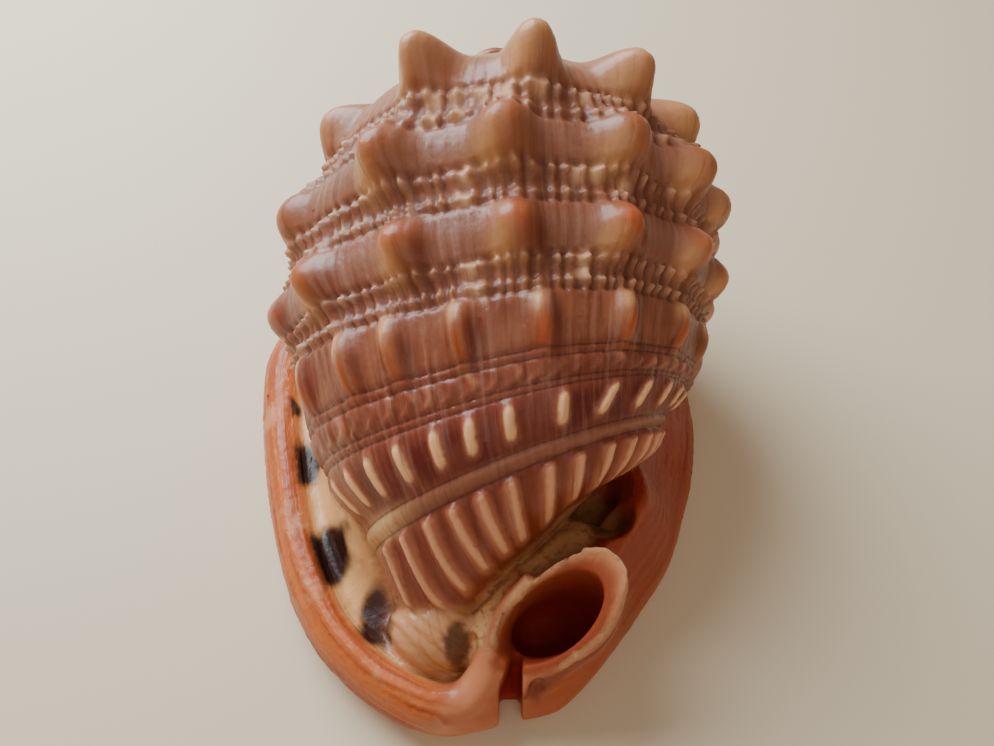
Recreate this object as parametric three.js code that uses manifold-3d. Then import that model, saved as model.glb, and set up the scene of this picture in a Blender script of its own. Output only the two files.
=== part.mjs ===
// Bullmouth helmet shell, resting on its aperture.
// Millimetres. +Z is up (the knobbed back), -Y is the front with the siphonal canal, +Y is the spire,
// -X is the side of the outer lip and +X the side of the parietal shield.
// The shell grew as one piece, so it is one mesh.

import * as THREE from 'three';
import { ParametricGeometry } from 'three/addons/geometries/ParametricGeometry.js';
import { LoftGeometry } from 'three/addons/geometries/LoftGeometry.js';
import { mergeVertices } from 'three/addons/utils/BufferGeometryUtils.js';
import Module from 'manifold-3d';

const wasm = await Module();
wasm.setup();

// Driving dimensions
const WALL = 8; // thickness of the body whorl's wall
const COIL_TILT = (14 * Math.PI) / 180; // the coil axis rises toward the spire
const COIL_CENTRE = new THREE.Vector3(3, 23, 40); // on the coil axis, at the second row of knobs
const FLATTENING = 1.09; // width of the whorl over its height
const SLOT_LEFT = 0.4; // open slit at the front: its wall on the lip side
const SLOT_WIDTH = 4.4; // from there to the end of the columella
const SLOT_END = -58; // how far back it runs
const APERTURE_WIDTH = 8; // the long mouth underneath
const APERTURE_TOP = 18; // how high its slit reaches, into the hollow of the whorl
const APERTURE_HALF_HEIGHT = 20;
const BASE_DIP = { at: [-9, -12, 0], half: [27, 42, 2] }; // shallow dip that leaves the base on its margin
const UMBILICUS = { at: [21.5, -36, 31], half: [5.5, 5, 12], lean: 0.25 };
const BELOW = -3; // sections and feet start this far under the plane that the shell rests on

// The whorl from the apex to the front. along: place on the coil axis. radius: of the ring there.
// aside and lift: the ring's centre off the axis. slant: how far the ring climbs toward the spire on the
// shield side. flare: how far it widens toward the outer lip. tuck: how far it narrows under the shield side.
const RINGS = {
  apex: { along: 45.5, radius: 0, aside: 0, lift: 4, slant: 0, flare: 0, tuck: 0 },
  spireTop: { along: 43.5, radius: 5.5, aside: 0, lift: 4, slant: 0, flare: 0, tuck: 0 },
  innerSuture: { along: 40.5, radius: 9, aside: 0, lift: 4, slant: 0, flare: 0, tuck: 0 },
  spireKnobs: { along: 37.5, radius: 14.5, aside: 0, lift: 4.5, slant: 0, flare: 0, tuck: 0 },
  suture: { along: 32, radius: 18.5, aside: 0, lift: 5, slant: 0, flare: 0, tuck: 0 },
  ramp: { along: 27, radius: 25, aside: 0, lift: 5.5, slant: 0, flare: 0, tuck: 0 },
  shoulderRow: { along: 20, radius: 30.5, aside: -0.3, lift: 5.5, slant: -1, flare: 0, tuck: 0 },
  firstBand: { along: 11.5, radius: 36.8, aside: 0, lift: 1.5, slant: 1, flare: 0.5, tuck: 0 },
  secondRow: { along: 2, radius: 39.5, aside: 0, lift: -1.5, slant: 2, flare: 3, tuck: 0 },
  secondBand: { along: -7, radius: 39, aside: 0.8, lift: -2.5, slant: 3, flare: 6, tuck: 0 },
  thirdRow: { along: -15, radius: 37.8, aside: 1.6, lift: -2.8, slant: 3.5, flare: 8, tuck: 0 },
  thirdBand: { along: -23, radius: 35.8, aside: 2, lift: -2.5, slant: 4, flare: 8.5, tuck: 0 },
  fourthRow: { along: -31, radius: 33.8, aside: 2.3, lift: -2, slant: 5, flare: 8.5, tuck: 0 },
  cords: { along: -38.5, radius: 32.4, aside: 2.6, lift: -3, slant: 7, flare: 7.5, tuck: 0 },
  bars: { along: -45.6, radius: 31, aside: 3, lift: -4, slant: 10, flare: 4, tuck: 2 },
  ridge: { along: -50.5, radius: 29.5, aside: 3.8, lift: -6, slant: 11.5, flare: 1, tuck: 5 },
  pleats: { along: -58.5, radius: 27.2, aside: 5.2, lift: -11, slant: 14.5, flare: 1, tuck: 8 },
  pleatEnds: { along: -63, radius: 22, aside: 6, lift: -16, slant: 18, flare: 5.5, tuck: 6 },
  frontEnd: { along: -66, radius: 14.5, aside: 6, lift: -20, slant: 18, flare: 9, tuck: 4 },
  frontPole: { along: -66, radius: 0, aside: 8, lift: -22, slant: 0, flare: 0, tuck: 0 },
};
const RING_NAMES = Object.keys(RINGS);
const ringIndex = (name) => RING_NAMES.indexOf(name);

// Knobs: angles round the coil from the top of the back, in degrees, toward the shield side.
const KNOB_ROWS = [
  {
    ring: 'shoulderRow', height: 8.5, back: 1.5, wide: 8.5, long: 0.8,
    at: [-112, -72, -26, 6, 36, 66, 96, 126],
  },
  {
    ring: 'secondRow', height: 5, back: 0.5, wide: 9, long: 0.9,
    at: [-108, -72, -32, -2, 27, 52, 72, 92, 115],
  },
  {
    ring: 'thirdRow', height: 3.4, back: 0, wide: 8, long: 0.9,
    at: [-82, -58, -30, -2, 25, 51, 74, 98],
  },
  {
    ring: 'fourthRow', height: 2.4, back: 0, wide: 6.5, long: 0.7,
    at: [-72, -52, -37, -18, 4, 28, 50, 72, 92],
  },
  {
    ring: 'spireKnobs', height: 1.8, back: 1, wide: 13, long: 0.6,
    at: [-150, -105, -60, -15, 30, 75, 120, 165],
  },
];

const PLAIN = { out: 0, back: 0 };

// Pleats: crescent ribs that run from the slanting ridge down to the canal. They fade in below the ridge, out
// before the front end and at both sides.
const PLEATS = {
  from: 'ridge', to: 'frontEnd', height: 1.3, spacing: 13, first: -75, last: 75,
  fadeIn: 0.8, fadeOut: 0.6, sides: 15,
};
const RIDGE = { height: 1, long: 0.4 };

// Angles between which the whorl widens toward the outer lip, and narrows under the shield side
const WIDENING = { full: -95, none: -15, underFull: -110, underNone: -180 };
const TUCKING = { none: 35, full: 95, underFull: 120, underNone: 180 };

const { smoothstep, lerp, degToRad, euclideanModulo } = THREE.MathUtils;
const wrapDegrees = (angle) => euclideanModulo(angle + 180, 360) - 180;
const bell = (x) => Math.exp(-x * x);

// One column of the ring table at a place between rings, on a smooth curve through them.
const COLUMNS = ['along', 'radius', 'aside', 'lift', 'slant', 'flare', 'tuck'];
const ringCurves = Object.fromEntries(COLUMNS.map((column) => [
  column,
  new THREE.SplineCurve(RING_NAMES.map((name, i) => new THREE.Vector2(i, RINGS[name][column]))),
]));
const ringValue = (column, place) => ringCurves[column].getPoint(place / (RING_NAMES.length - 1)).y;

// How far the ornament stands out from the plain whorl, and how far it leans toward the spire.
function ornament(degrees, place) {
  let out = 0;
  let back = 0;
  for (const row of KNOB_ROWS) {
    const across = bell((place - ringIndex(row.ring)) / row.long);
    for (const angle of row.at) {
      const knob = across * bell(wrapDegrees(degrees - angle) / row.wide);
      out += row.height * knob;
      back += row.back * knob;
    }
  }
  out += RIDGE.height * bell((place - ringIndex('ridge')) / RIDGE.long);
  const { from, to, first, last, fadeIn, fadeOut, sides } = PLEATS;
  const inPleats = smoothstep(place, ringIndex(from), ringIndex(from) + fadeIn)
    * (1 - smoothstep(place, ringIndex(to) - fadeOut, ringIndex(to)))
    * smoothstep(degrees, first - sides, first)
    * (1 - smoothstep(degrees, last, last + sides));
  out += PLEATS.height * inPleats * Math.cos((2 * Math.PI * degrees) / PLEATS.spacing);
  return { out, back };
}

// A point of the whorl. degrees: angle round the coil. place: counted in rings from the apex.
// inset: how far under the surface. swell: 1 for a full ring, 0 for one that shrinks to its centre.
function whorlPoint(degrees, place, inset, swell, bumps, target) {
  const angle = degToRad(degrees);
  const widening = (1 - smoothstep(degrees, WIDENING.full, WIDENING.none))
    * smoothstep(degrees, WIDENING.underNone, WIDENING.underFull);
  const tucking = smoothstep(degrees, TUCKING.none, TUCKING.full)
    * (1 - smoothstep(degrees, TUCKING.underFull, TUCKING.underNone));
  const plain = ringValue('radius', place) + ringValue('flare', place) * widening
    - ringValue('tuck', place) * tucking;
  const radius = swell * (plain - inset + bumps.out);
  const along = ringValue('along', place) + swell * ringValue('slant', place) * Math.sin(angle) + bumps.back;
  const aside = ringValue('aside', place) + FLATTENING * radius * Math.sin(angle);
  const lift = ringValue('lift', place) + radius * Math.cos(angle);
  target.set(
    COIL_CENTRE.x + aside,
    COIL_CENTRE.y + along * Math.cos(COIL_TILT) - lift * Math.sin(COIL_TILT),
    COIL_CENTRE.z + along * Math.sin(COIL_TILT) + lift * Math.cos(COIL_TILT),
  );
}

// Any closed geometry as a solid, with its seams and poles closed.
function solid(geometry) {
  const bare = new THREE.BufferGeometry();
  bare.setAttribute('position', geometry.attributes.position);
  bare.setIndex(geometry.index);
  const merged = mergeVertices(bare, 1e-4);
  const corners = merged.index.array;
  const triangles = [];
  for (let i = 0; i < corners.length; i += 3) {
    const [a, b, c] = corners.slice(i, i + 3);
    if (a !== b && b !== c && c !== a) triangles.push(a, b, c);
  }
  const make = () => new wasm.Manifold(new wasm.Mesh({
    numProp: 3,
    vertProperties: merged.attributes.position.array,
    triVerts: new Uint32Array(triangles),
  }));
  const made = make();
  if (made.volume() > 0) return made;
  for (let i = 0; i < triangles.length; i += 3) {
    [triangles[i + 1], triangles[i + 2]] = [triangles[i + 2], triangles[i + 1]];
  }
  return make();
}

// A loft closed at both ends by fans of triangles that meet in the middle of the end sections.
function loft(sections) {
  const fan = (section) => {
    const middle = new THREE.Vector3();
    section.forEach((p) => middle.addScaledVector(p, 1 / section.length));
    return section.map(() => middle);
  };
  return solid(new LoftGeometry([fan(sections[0]), ...sections, fan(sections[sections.length - 1])]));
}

// Body whorl and spire. The steps round the coil are finer on the back than underneath.
function bodyWhorl() {
  const slices = 64;
  const stacks = 54;
  const uneven = 0.28;
  const degreesAt = (u) => {
    const t = 2 * u - 1;
    return 180 * ((1 - uneven) * t + uneven * t ** 5);
  };
  return solid(new ParametricGeometry((u, v, target) => {
    const place = v * (RING_NAMES.length - 1);
    const degrees = degreesAt(u % 1);
    const atPole = v === 0 || v === 1;
    whorlPoint(degrees, place, 0, 1, atPole ? PLAIN : ornament(degrees, place), target);
  }, slices, stacks));
}

// The hollow of the whorl, one wall's thickness inside it, as one smooth room over the mouth.
function whorlHollow() {
  const first = ringIndex('suture');
  const last = ringIndex('bars');
  const bluntness = 0.35;
  return solid(new ParametricGeometry((u, v, target) => {
    const place = first + v * (last - first);
    const swell = v === 1 ? 0 : Math.sin(Math.PI * v) ** bluntness;
    whorlPoint(360 * (u % 1) - 180, place, WALL, swell, PLAIN, target);
  }, 28, 14));
}

// Points of an ellipse with the given half axes, counterclockwise seen from the side that side x up faces.
function ellipse(centre, side, up, count) {
  return Array.from({ length: count }, (_, i) => {
    const angle = (2 * Math.PI * i) / count;
    return centre.clone().addScaledVector(side, Math.cos(angle)).addScaledVector(up, Math.sin(angle));
  });
}

// Outline of the base seen from above, counterclockwise from the canal: shield side, back, lip side, front.
const BASE_OUTLINE = [
  [13.5, -65.6], [20.8, -58.8], [29.8, -48], [37.6, -37], [43, -23.8], [46.6, -11.7], [48, 0.6], [47, 13],
  [44, 25], [36, 35.5], [21, 42.5], [2, 45], [-18, 44], [-37, 39], [-51, 29], [-57, 16], [-57, 3],
  [-53.5, -15], [-47.5, -36], [-38.8, -53], [-29.3, -63], [-19.5, -69], [-11, -71.4], [-3.5, -70.6],
  [2.5, -69], [8.5, -67.6],
];
// Sections of the flange from its foot over its edge to the whorl: how far in from the outline, and height.
const LIP_SECTION = [
  [22, BELOW], [4, BELOW], [1, 1.5], [0, 5.5], [0.7, 9.5], [3, 12.8], [6, 13.8], [8.6, 12.6], [11, 11],
  [14, 13], [18, 22],
];
const FRONT_SECTION = [
  [22, BELOW], [4, BELOW], [1, 1.5], [0, 5.5], [0.7, 9.5], [3, 12.8], [6, 13.8], [8.2, 12.4], [9.5, 11],
  [13, 10.5], [18, 11],
];
const SHIELD_SECTION = [
  [22, BELOW], [3, BELOW], [0.6, 0.6], [0, 3], [0.7, 5.5], [3, 8], [6.5, 11.5], [10, 15.5], [14, 20.5],
  [17, 25], [21, 26],
];
const BACK_SECTION = [
  [22, BELOW], [3, BELOW], [0.6, 0.6], [0, 2.5], [0.6, 4.5], [3, 7], [6, 9.5], [9, 12], [12, 15], [15, 18],
  [19, 20],
];
const CANAL_SECTION = [
  [22, BELOW], [3, BELOW], [0.6, 0.6], [0, 3.5], [0.8, 7.5], [2.6, 13], [5, 20], [7.5, 26], [10, 29],
  [13, 26], [17, 14],
];
// Where round the base each section holds: the lip's fades out past the middle, the others along the length.
const LIP_SIDE = { from: -12, to: 4 };
const CANAL_SIDE = { from: 18, to: 38, backFrom: 50, backTo: 64 };
const FRONT_PART = { from: 38, to: 58 };
const BACK_PART = { from: 18, to: 36 };

// The flat base with the rolled outer lip on one side and the flange of the parietal shield on the other.
function baseFlange() {
  const outline = new THREE.CatmullRomCurve3(
    BASE_OUTLINE.map(([x, y]) => new THREE.Vector3(x, y, 0)), true, 'catmullrom', 0.5,
  );
  const curveOf = (section) => new THREE.SplineCurve(
    section.map(([inset, z]) => new THREE.Vector2(inset, z)),
  );
  const [lip, shield, front, rear, canal] = [
    LIP_SECTION, SHIELD_SECTION, FRONT_SECTION, BACK_SECTION, CANAL_SECTION,
  ].map(curveOf);
  const rows = LIP_SECTION.length + 1;
  const middle = { x: -3, y: -14, above: 18 };
  const edge = new THREE.Vector3();
  const inward = new THREE.Vector3();
  return solid(new ParametricGeometry((u, v, target) => {
    const row = Math.round(v * rows);
    if (row === 0 || row === rows) {
      target.set(middle.x, middle.y, row === 0 ? BELOW : middle.above);
      return;
    }
    outline.getPoint(u % 1, edge);
    outline.getTangent(u % 1, inward);
    inward.set(-inward.y, inward.x, 0);
    const onLip = smoothstep(-edge.x, LIP_SIDE.from, LIP_SIDE.to);
    const atCanal = smoothstep(-edge.y, CANAL_SIDE.from, CANAL_SIDE.to)
      * (1 - smoothstep(-edge.y, CANAL_SIDE.backFrom, CANAL_SIDE.backTo));
    const across = (row - 1) / (rows - 2);
    const section = shield.getPoint(across);
    section.lerp(canal.getPoint(across), atCanal);
    section.lerp(lip.getPoint(across), onLip);
    section.lerp(front.getPoint(across), onLip * smoothstep(-edge.y, FRONT_PART.from, FRONT_PART.to));
    section.lerp(rear.getPoint(across), smoothstep(edge.y, BACK_PART.from, BACK_PART.to));
    target.copy(edge).addScaledVector(inward, section.x).setZ(section.y);
  }, 52, rows));
}

// The siphonal canal: a short scroll that curls up at the front, with its mouth facing up and forward.
const CANAL_RIM = [
  [-2.6, -64.5, 13.5], [-0.8, -57.5, 20], [3.2, -51.5, 27], [10.6, -46.6, 33], [18.4, -44.6, 36],
  [22.8, -48, 36], [22.8, -53, 32.5], [19.2, -58.6, 26.5], [12.4, -62.2, 20], [7, -65, 15], [2, -67, 12],
];
const CANAL_FOOT = [
  [-3, -65], [-2, -58], [1.5, -50.5], [9, -44], [19, -39], [29, -40], [30, -45], [24, -53], [15.5, -61.5],
  [8, -66], [0, -67.5],
].map(([x, y]) => [x, y, BELOW]);
// Sections of the canal's bore, from the air over its mouth down to the long mouth underneath.
const CANAL_BORE = [
  { centre: [5.2, -61.8, 38], long: [12, 7, 10], short: [-4.6, 5.6, 0.4] },
  { centre: [10, -54.7, 25.4], long: [8.3, 5.2, 8], short: [-3.8, 4.8, 0.3] },
  { centre: [11.5, -53, 17], long: [8, 4.2, 3], short: [-3.4, 4.6, 0] },
  { centre: [10.5, -52, 9], long: [7.5, 3, 0.5], short: [-2.2, 4.4, 0] },
  { centre: [9.5, -51.5, 5], long: [4.5, 1.5, 0], short: [-1, 2.5, 0] },
];

function canalScroll() {
  const steps = 22;
  const loop = (points) => new THREE.CatmullRomCurve3(
    points.map((p) => new THREE.Vector3(...p)), true, 'catmullrom', 0.5,
  );
  const foot = loop(CANAL_FOOT);
  const rim = loop(CANAL_RIM);
  const rimMiddle = new THREE.Vector3(10, -56, 24);
  const spread = 0.45; // under 1, the walls lean over near the foot and stand up near the rim
  const levels = [
    { up: 0, bulge: 1 }, { up: 0.3, bulge: 0.98 }, { up: 0.6, bulge: 0.95 }, { up: 0.85, bulge: 0.97 },
    { up: 1, bulge: 1 },
  ];
  const sections = levels.map(({ up, bulge }) => Array.from({ length: steps }, (_, i) => {
    const turn = i / steps;
    const low = foot.getPoint(turn);
    const high = rim.getPoint(turn);
    const sideways = up ** spread;
    const p = new THREE.Vector3(
      lerp(low.x, high.x, sideways),
      lerp(low.y, high.y, sideways),
      lerp(low.z, high.z, up),
    );
    const middle = new THREE.Vector3(rimMiddle.x, rimMiddle.y, p.z);
    return p.sub(middle).multiplyScalar(bulge).add(middle);
  }));
  return loft(sections);
}

function canalBore() {
  return loft(CANAL_BORE.map(({ centre, long, short }) => ellipse(
    new THREE.Vector3(...centre), new THREE.Vector3(...short), new THREE.Vector3(...long), 18,
  )));
}

function block(x0, x1, y0, y1, z0, z1) {
  const geometry = new THREE.BoxGeometry(x1 - x0, y1 - y0, z1 - z0);
  geometry.translate((x0 + x1) / 2, (y0 + y1) / 2, (z0 + z1) / 2);
  return solid(geometry);
}

// The long mouth underneath: a curved slit from the canal toward the spire end, narrower at both ends.
const APERTURE_PATH = [
  { at: [2.6, -57.5], share: 0.5 }, { at: [0, -48], share: 0.7 }, { at: [-8, -36], share: 1 },
  { at: [-14, -18], share: 1 }, { at: [-16, 0], share: 1 }, { at: [-14, 16], share: 0.9 },
  { at: [-8, 28], share: 0.5 },
];

function aperture() {
  const path = new THREE.CatmullRomCurve3(
    APERTURE_PATH.map(({ at: [x, y] }) => new THREE.Vector3(x, y, 0)),
  );
  const up = new THREE.Vector3(0, 0, APERTURE_HALF_HEIGHT);
  return loft(APERTURE_PATH.map(({ share }, i) => {
    const turn = i / (APERTURE_PATH.length - 1);
    const centre = path.getPoint(turn).setZ(APERTURE_TOP - APERTURE_HALF_HEIGHT);
    const t = path.getTangent(turn);
    const side = new THREE.Vector3(-t.y, t.x, 0).multiplyScalar((share * APERTURE_WIDTH) / 2);
    return ellipse(centre, side, up, 8);
  }));
}

// An egg-shaped hollow, leaning about the X direction.
function dimple({ at, half, lean = 0 }, across, down) {
  const geometry = new THREE.SphereGeometry(1, across, down);
  geometry.scale(...half);
  geometry.rotateX(lean);
  geometry.translate(...at);
  return solid(geometry);
}

function shellSolid() {
  const far = 120;
  let shell = bodyWhorl();
  shell = shell.add(baseFlange());
  shell = shell.add(canalScroll());
  shell = shell.subtract(whorlHollow());
  shell = shell.subtract(canalBore());
  shell = shell.subtract(aperture());
  shell = shell.subtract(dimple(UMBILICUS, 14, 10));
  shell = shell.subtract(dimple(BASE_DIP, 24, 8));
  shell = shell.subtract(block(SLOT_LEFT, SLOT_LEFT + SLOT_WIDTH, -far, SLOT_END, -far, far));
  return shell.subtract(block(-far, far, -far, far, -far, 0));
}

function geometryOf(made) {
  const mesh = made.getMesh();
  const geometry = new THREE.BufferGeometry();
  geometry.setAttribute('position', new THREE.BufferAttribute(mesh.vertProperties, mesh.numProp));
  geometry.setIndex(new THREE.BufferAttribute(mesh.triVerts, 1));
  geometry.computeVertexNormals();
  return geometry;
}

const shellMaterial = new THREE.MeshStandardMaterial({ color: 0x9a6650, roughness: 0.42, metalness: 0 });
const shell = new THREE.Mesh(geometryOf(shellSolid()), shellMaterial);
shell.name = 'shell';

// The frame's origin is the middle of the shell in plan, on the plane it rests on.
shell.geometry.computeBoundingBox();
const middle = shell.geometry.boundingBox.getCenter(new THREE.Vector3());
shell.position.set(-middle.x, -middle.y, 0);

const helmetShell = new THREE.Group();
helmetShell.name = 'helmet_shell';
helmetShell.add(shell);

export default helmetShell;
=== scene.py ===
import math
import bmesh
import bpy
import numpy as np
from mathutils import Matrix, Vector
from mathutils.kdtree import KDTree


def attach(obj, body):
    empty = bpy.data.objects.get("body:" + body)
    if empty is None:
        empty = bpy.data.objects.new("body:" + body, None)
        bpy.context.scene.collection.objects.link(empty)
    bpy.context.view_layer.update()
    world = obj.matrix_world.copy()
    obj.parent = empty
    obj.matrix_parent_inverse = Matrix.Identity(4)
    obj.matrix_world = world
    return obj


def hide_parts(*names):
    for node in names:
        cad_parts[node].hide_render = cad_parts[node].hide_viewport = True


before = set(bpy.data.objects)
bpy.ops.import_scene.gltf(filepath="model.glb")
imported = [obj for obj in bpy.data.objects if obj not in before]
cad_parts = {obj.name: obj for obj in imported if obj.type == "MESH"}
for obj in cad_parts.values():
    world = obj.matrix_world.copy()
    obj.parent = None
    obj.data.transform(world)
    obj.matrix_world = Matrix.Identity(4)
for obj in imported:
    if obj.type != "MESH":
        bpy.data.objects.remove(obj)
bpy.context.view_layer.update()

# Bullmouth helmet shell, lying on its aperture. Lengths here are in millimetres and become metres as
# they are put into a mesh. Z is up, -Y is the front with the siphonal canal, +Y is the spire, -X is the
# side of the outer lip and +X the side of the parietal shield.

MM = 0.001
PLAN_MIDDLE = np.array([-2.991, -2.61, 0.0])  # middle of the shell in plan, as the tables below are written
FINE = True
VOXEL = 0.58 if FINE else 0.75
MOST_TRIANGLES = 190000

# ---- Whorl
COIL_TILT = math.radians(14)
COIL_CENTRE = np.array([3.0, 23.0, 40.0])
FLATTENING = 1.09
WALL = 8.0

# From the apex to the front: along the coil axis, radius, aside, lift, slant, flare and tuck of each ring
RINGS = {
    "apex": (45.5, 0, 0, 4, 0, 0, 0), "spire_top": (43.5, 5.5, 0, 4, 0, 0, 0),
    "inner_suture": (40.5, 9, 0, 4, 0, 0, 0), "spire_knobs": (37.5, 14.5, 0, 4.5, 0, 0, 0),
    "suture": (32, 18.5, 0, 5, 0, 0, 0), "ramp": (27, 25, 0, 5.5, 0, 0, 0),
    "shoulder_row": (20, 30.5, -0.3, 5.5, -1, 0, 0), "first_band": (11.5, 36.8, 0, 1.5, 1, 0.5, 0),
    "second_row": (2, 39.5, 0, -1.5, 2, 3, 0), "second_band": (-7, 39, 0.8, -2.5, 3, 6, 0),
    "third_row": (-15, 37.8, 1.6, -2.8, 3.5, 8, 0), "third_band": (-23, 35.8, 2, -2.5, 4, 8.5, 0),
    "fourth_row": (-31, 33.8, 2.3, -2, 5, 8.5, 0), "cords": (-38.5, 32.4, 2.6, -3, 7, 7.5, 0),
    "bars": (-45.6, 31, 3, -4, 10, 4, 2), "ridge": (-50.5, 29.5, 3.8, -6, 11.5, 1, 5),
    "pleats": (-58.5, 27.2, 5.2, -11, 14.5, 1, 8), "pleat_ends": (-63, 22, 6, -16, 18, 5.5, 6),
    "front_end": (-66, 14.5, 6, -20, 18, 9, 4), "front_pole": (-66, 0, 8, -22, 0, 0, 0),
}
RING_TABLE = np.array(list(RINGS.values()), float)
PLACE = {name: i for i, name in enumerate(RINGS)}
LAST_PLACE = len(RING_TABLE) - 1

# Knobs of each row: height, lean back, half width in degrees, half length in rings, and their angles
KNOB_ROWS = {
    "shoulder_row": (8.6, 1.5, 7.4, 0.74, (-112, -72, -26, 6, 36, 66, 96, 126)),
    "second_row": (5.8, 0.5, 6.6, 0.66, (-108, -70, -32, -2, 27, 51, 73, 95, 117)),
    "third_row": (4.2, 0, 5.7, 0.64, (-82, -58, -30, -2, 25, 51, 74, 98)),
    "fourth_row": (2.5, 0, 3.8, 0.66, (-72, -52, -37, -18, 4, 28, 50, 72, 92)),
    "spire_knobs": (1.0, 0.5, 13, 0.6, (-150, -105, -60, -15, 30, 75, 120, 165)),
}
KNOB_BLUNTNESS = 1.25
SIDE_KNOBS = 0.22  # share by which the knobs at the sides are lower
# Recessed bands between the rows: upper edge, upper cord, lower cord, lower edge
BEAD_BANDS = ((6.74, 6.96, 7.45, 7.68), (8.5, 8.7, 9.2, 9.42), (10.52, 10.7, 11.18, 11.4))
RIBLET_STEP = 3.7
# The beads that stand out cream: angle and place
CREAM_BEADS = ((-21, 7.06), (-15, 7.0), (-8.5, 7.0), (-2, 7.06), (-21.5, 7.44), (-14.5, 7.44), (6.5, 7.0),
               (19, 7.06), (-12.5, 8.72), (-13.5, 9.2), (14.5, 8.78), (19.5, 8.76), (27, 8.95), (-14, 10.74),
               (-13, 11.18), (15, 10.7), (15, 11.0))
CORD_GROOVES = (12.66, 12.86, 13.4, 13.56)
# Beads of the wide cord between those grooves: place, and degrees from one to the next
CORD_BEADS_PLACE = 13.12
CORD_BEADS_STEP = 6.2
# The slanting ridge, the grooves on its two sides, and the lines of painted shade in them
RIDGE_PLACE = 15.2
RIDGE_GROOVES = (15.06, 15.36)
RIDGE_SHADOWS = (15.05, 15.38)
# Bars of the band over the ridge: angle at the top, angle at the foot
BARS = ((-88, -84), (-76, -72), (-64, -62), (-53, -52), (-41.5, -40), (-29, -28.5), (-18, -18.5), (-6.5, -7),
        (9.5, 8), (26.5, 19.5), (40, 33), (52, 45), (64, 57), (76, 70))
BAR_SPAN = (13.66, 14.95)
# Pleats: angle at the ridge, half way and at the lower end
PLEATS = ((-74, -72, -70), (-61, -59, -57), (-50, -47.5, -44), (-38.5, -36, -32), (-29, -25, -21.5),
          (-19, -16, -13), (-9, -8.5, -7.5), (3.5, 2, 1), (13.5, 11.5, 10), (25, 20.5, 17), (34, 29, 24.5),
          (42, 37, 32), (49, 44, 39), (56, 51, 46), (64, 59, 54))
PLEAT_SPAN = (15.35, 17.9)
# Where the pleats end, by angle; beyond it lie pale folds on the left and a sandy groove on the right
PLEAT_END = ((-80, -60, -44, -33, -14, 1, 10, 25, 45),
             (16.4, 16.8, 17.55, 17.15, 17.05, 17.0, 16.75, 16.85, 17.2))


def smoothstep(x, low, high):
    t = np.clip((x - low) / (high - low), 0, 1)
    return t * t * (3 - 2 * t)


def bell(x):
    return np.exp(-x * x)


def wrap(degrees):
    return (degrees + 180) % 360 - 180


def curve_through(points, t, closed=False, doubled_ends=False):
    """A smooth curve through the rows of points, for t from 0 to 1."""
    points = np.asarray(points, float)
    n = len(points)
    at = np.asarray(t, float) * (n if closed else n - 1)
    if closed:
        i = np.floor(at).astype(int)
        f = (at - i)[..., None]
        a, b, c, d = (points[(i + k) % n] for k in (-1, 0, 1, 2))
    else:
        i = np.clip(np.floor(at).astype(int), 0, n - 2)
        f = (at - i)[..., None]
        before = points[0] if doubled_ends else 2 * points[0] - points[1]
        after = points[-1] if doubled_ends else 2 * points[-1] - points[-2]
        wide = np.vstack([before, points, after])
        a, b, c, d = (wide[i + k] for k in (0, 1, 2, 3))
    s, e = (c - a) * 0.5, (d - b) * 0.5
    return (2 * b - 2 * c + s + e) * f ** 3 + (-3 * b + 3 * c - 2 * s - e) * f ** 2 + s * f + b


def wobble(x, seed=0.0):
    """A smooth uneven wave between about -1 and 1."""
    return (np.sin(x + 1.7 * seed) + 0.7 * np.sin(2.17 * x + 3.1 * seed + 1) + 0.5 * np.sin(4.73 * x + seed)
            + 0.35 * np.sin(9.41 * x + 2.3 * seed)) / 2.0


def scatter(k, seed=0):
    """A fixed pseudo-random number between 0 and 1 for each whole number k."""
    return np.modf(np.abs(np.sin((k + 1) * 127.1 + seed * 311.7) * 43758.5453))[0]


def lumps(points, size, seed=0):
    """Smooth noise between -1 and 1 in space, with lumps of the given size."""
    q = np.asarray(points, float) / size
    base = np.floor(q)
    f = q - base
    f = f * f * (3 - 2 * f)
    total = 0.0
    for corner in range(8):
        step = np.array([corner & 1, corner >> 1 & 1, corner >> 2 & 1])
        weight = np.prod(np.where(step, f, 1 - f), axis=-1)
        spot = base + step
        number = spot[..., 0] * 1.0 + spot[..., 1] * 57.0 + spot[..., 2] * 113.0
        total = total + weight * scatter(number, seed)
    return 2 * total - 1


def ring_at(place):
    return curve_through(RING_TABLE, np.clip(place, 0, LAST_PLACE) / LAST_PLACE, doubled_ends=True)


def knobs_at(degrees, place):
    out = np.zeros_like(degrees)
    back = np.zeros_like(degrees)
    for row, (height, lean, wide, long, angles) in KNOB_ROWS.items():
        across = ((place - PLACE[row]) / long) ** 2
        for angle in angles:
            low = height * (1 - SIDE_KNOBS * smoothstep(abs(angle), 50, 74))
            knob = np.exp(-(across + (wrap(degrees - angle) / wide) ** 2) ** KNOB_BLUNTNESS)
            out += low * knob
            back += lean * knob
    return out, back


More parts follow.
